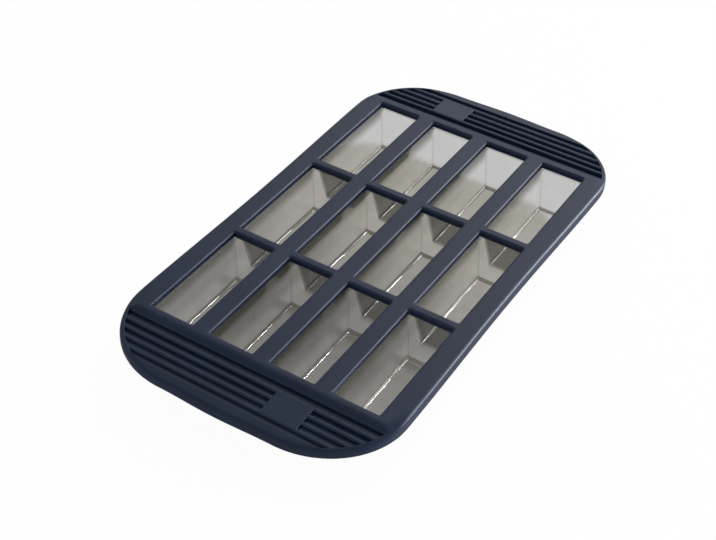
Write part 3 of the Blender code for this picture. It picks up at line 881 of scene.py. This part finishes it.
def makeFloor(material):
    far = paper["reach"]
    mesh = bpy.data.meshes.new("floor")
    mesh.from_pydata([(-far, -far, 0), (far, -far, 0), (far, far, 0), (-far, far, 0)], [], [(0, 1, 2, 3)])
    mesh.materials.append(material)
    floor = bpy.data.objects.new("studio_floor", mesh)
    bpy.context.scene.collection.objects.link(floor)
    floor.location.z = -paper["below"]
    return floor


# Lamps: a large low softbox behind the right side, a bright card on the floor at the right, a small high lamp that
# shades the paper under the mould, and a narrow strip that draws the thin bright lines on the cups' fillets

lamps = {
    "sideSoftbox": {"place": (1.10, 1.10, 0.25), "target": (0, 0, 0.03), "size": (1.0, 0.48), "watts": 25.0},
    "floorCard": {"place": (0.33, 0.25, 0.001), "target": (0.33, 0.25, 1.0), "size": (0.44, 0.8), "watts": 0.4},
    "paperLight": {"place": (0.25, 0.35, 1.2), "target": (0, 0, 0), "size": (0.2, 0.2), "watts": 5.5},
    "glintStrip": {"place": (0.523, 0.984, 1.0), "target": (0, 0, 0.03), "size": (0.05, 0.90), "watts": 48.0},
}


def makeLight(name):
    lamp = lamps[name]
    data = bpy.data.lights.new(name, "AREA")
    data.shape, data.energy = "RECTANGLE", lamp["watts"]
    data.size, data.size_y = lamp["size"]
    light = bpy.data.objects.new(name, data)
    bpy.context.scene.collection.objects.link(light)
    light.location = lamp["place"]
    light.rotation_mode = "QUATERNION"
    light.rotation_quaternion = (Vector(lamp["target"]) - Vector(lamp["place"])).to_track_quat("-Z", "Y")
    light.visible_camera = False
    return light


def lightOnly(light, name, pieces):
    # the light falls on these pieces and on nothing else
    lit = bpy.data.collections.new(name)
    for piece in pieces:
        lit.objects.link(piece)
    light.light_linking.receiver_collection = lit


# Room: even pale light, more of it at wall height, and a bright backdrop behind the far end. The camera sees white.
# Heights are sines of the angle above the horizon, and backdropEdge is the cosine of the angle to its middle.

room = {
    "ambient": 0.33,
    "walls": 0.30,
    "wallTop": (0.30, 0.70),
    "backdrop": 2.75,
    "backdropSide": (0.1, 0.995, 0.0),
    "backdropEdge": (0.60, 0.95),
    "backdropFoot": (0.40, 0.62),
    "backdropTop": (0.60, 0.79),
}


def makeRoom():
    # light = ambient + walls*(1 - rise to wallTop) + backdrop*(rise from its foot)*(fall to its top)*(nearness)
    world = bpy.data.worlds.new("studio")
    bpy.context.scene.world = world
    world.use_nodes = True
    tree = world.node_tree
    tree.nodes.clear()
    facing = addNode(tree, "ShaderNodeTexCoord").outputs["Generated"]
    height = addNode(tree, "ShaderNodeSeparateXYZ", {"Vector": facing}).outputs["Z"]
    flat = addNode(tree, "ShaderNodeVectorMath", {0: facing}, {1: (1.0, 1.0, 0.0)}, operation="MULTIPLY")
    flat = addNode(tree, "ShaderNodeVectorMath", {0: flat.outputs[0]}, operation="NORMALIZE")
    toBack = addNode(tree, "ShaderNodeVectorMath", {0: flat.outputs[0]}, {1: room["backdropSide"]},
                     operation="DOT_PRODUCT")
    belowTop = addNode(tree, "ShaderNodeMapRange", {"Value": height},
                       {"From Min": room["backdropTop"][0], "From Max": room["backdropTop"][1],
                        "To Min": 1.0, "To Max": 0.0}, interpolation_type="SMOOTHSTEP")
    aboveFoot = addNode(tree, "ShaderNodeMapRange", {"Value": height},
                        {"From Min": room["backdropFoot"][0], "From Max": room["backdropFoot"][1]},
                        interpolation_type="SMOOTHSTEP")
    behind = addNode(tree, "ShaderNodeMapRange", {"Value": toBack.outputs["Value"]},
                     {"From Min": room["backdropEdge"][0], "From Max": room["backdropEdge"][1]},
                     interpolation_type="SMOOTHSTEP")
    around = addNode(tree, "ShaderNodeMapRange", {"Value": height},
                     {"From Min": room["wallTop"][0], "From Max": room["wallTop"][1],
                      "To Min": room["ambient"] + room["walls"], "To Max": room["ambient"]},
                     interpolation_type="SMOOTHSTEP")
    band = addNode(tree, "ShaderNodeMath", {0: belowTop.outputs["Result"], 1: aboveFoot.outputs["Result"]},
                   operation="MULTIPLY")
    drop = addNode(tree, "ShaderNodeMath", {0: band.outputs[0], 1: behind.outputs["Result"]}, operation="MULTIPLY")
    glow = addNode(tree, "ShaderNodeMath", {0: drop.outputs[0], 2: around.outputs["Result"]},
                   {1: room["backdrop"]}, operation="MULTIPLY_ADD")
    light = addNode(tree, "ShaderNodeBackground", {"Strength": glow.outputs[0]}, {"Color": (1, 1, 1, 1)})
    white = addNode(tree, "ShaderNodeBackground", {}, {"Color": (1, 1, 1, 1), "Strength": 1.0})
    path = addNode(tree, "ShaderNodeLightPath")
    mixed = addNode(tree, "ShaderNodeMixShader",
                    {0: path.outputs["Is Camera Ray"], 1: light.outputs[0], 2: white.outputs[0]})
    addNode(tree, "ShaderNodeOutputWorld", {"Surface": mixed.outputs[0]})


bpy.context.scene.view_settings.view_transform = "Standard"
makeCamera()
floorPiece = makeFloor(palePaper())
makeRoom()
makeLight("sideSoftbox")
makeLight("floorCard")
lightOnly(makeLight("paperLight"), "papers", [floorPiece])
glintStrip = makeLight("glintStrip")
glintStrip.visible_diffuse = False
print("studio is ready")

makeDeck(navySilicone())
print("deck is ready")
lightOnly(glintStrip, "glinting", makeCups(smokeSilicone()))
print("cups are ready")
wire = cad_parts["rim_wire"]
wire.data.materials.clear()
wire.data.materials.append(drawnSteel())
print("wire is ready")

bpy.context.view_layer.update()
